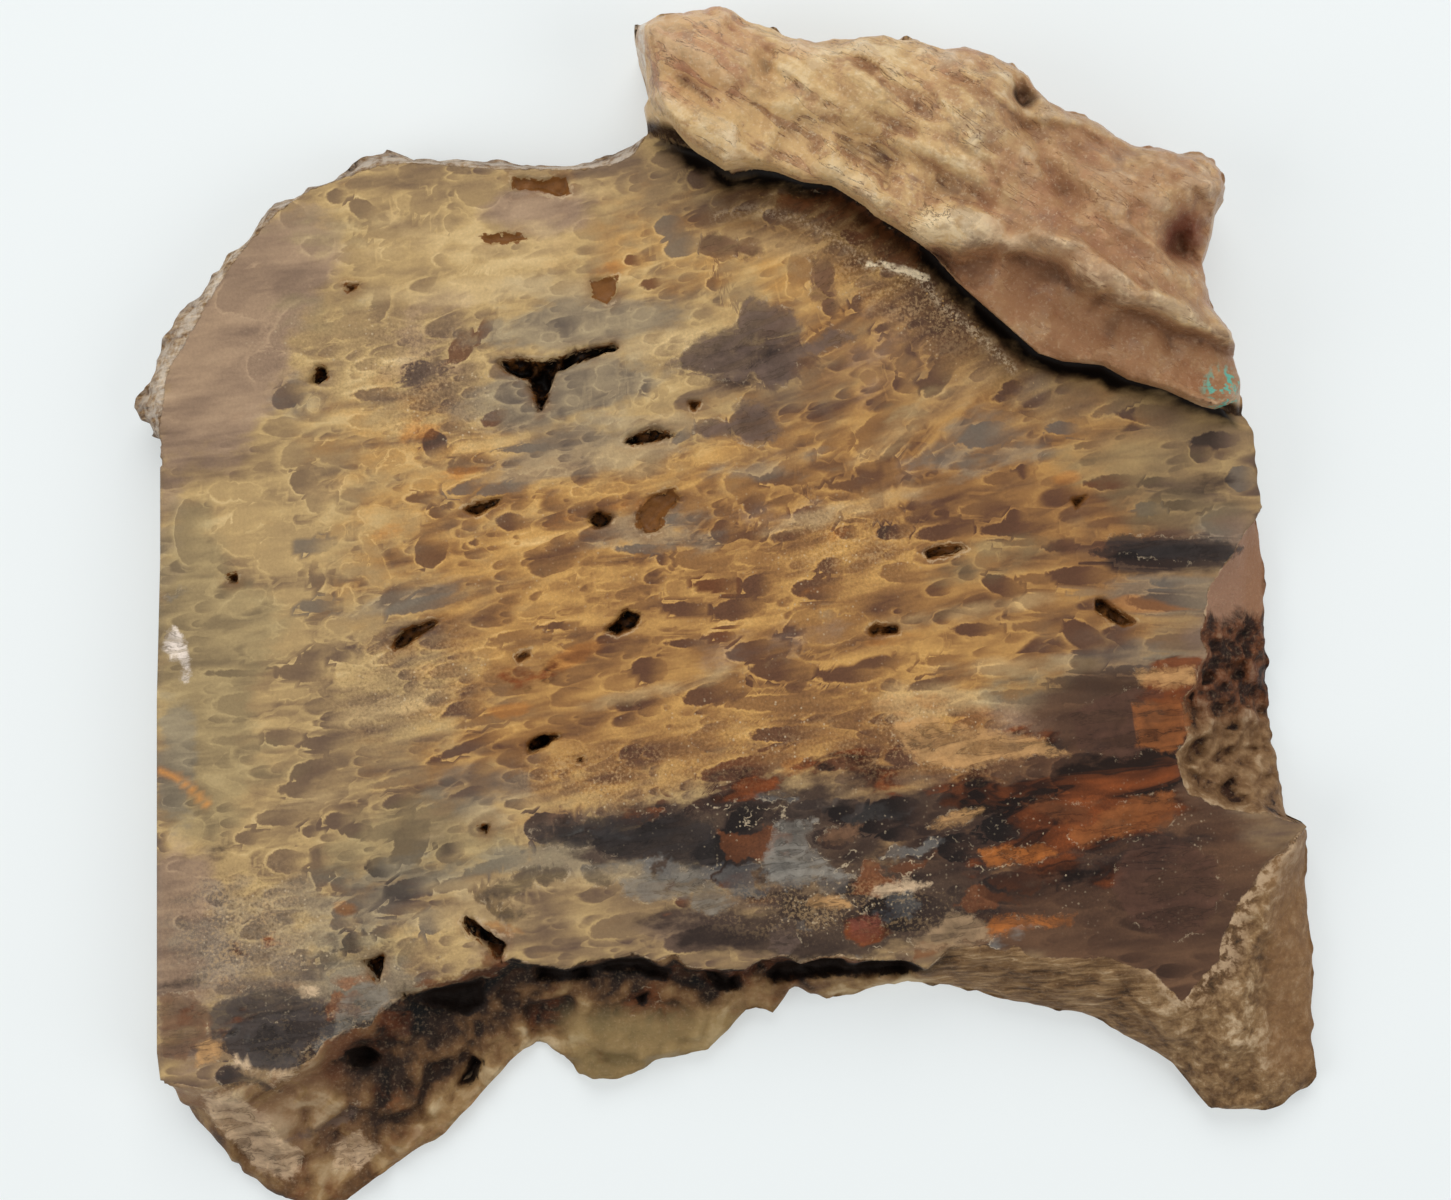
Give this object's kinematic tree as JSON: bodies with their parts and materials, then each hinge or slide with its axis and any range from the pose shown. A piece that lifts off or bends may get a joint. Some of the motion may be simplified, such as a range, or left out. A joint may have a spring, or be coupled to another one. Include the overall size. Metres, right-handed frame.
{
  "type": "rough fossil coral slab",
  "caption": "Sawn slab of agatized fossil coral with a raised natural ridge, a broken shelf and small hollows, lying on its flat sawn back.",
  "frame": {"origin": "middle of the bounding box at the sawn back's plane", "axes": "+Z out of the sawn back towards the sawn front, the thin way of the slab; +Y towards the edge with the raised ridge; +X to the right as seen from the front"},
  "size_m": [0.1789, 0.1799, 0.026],
  "materials": {
    "agatized_coral": "translucent chalcedony, tan with dark grey-brown lobed cells, rust and blue-grey stains: smooth and softly glossy where it is sawn, rough on the natural ridge and rind"
  },
  "bodies": {
    "root": {"coral_slab": "agatized_coral"}
  },
  "joints": []
}
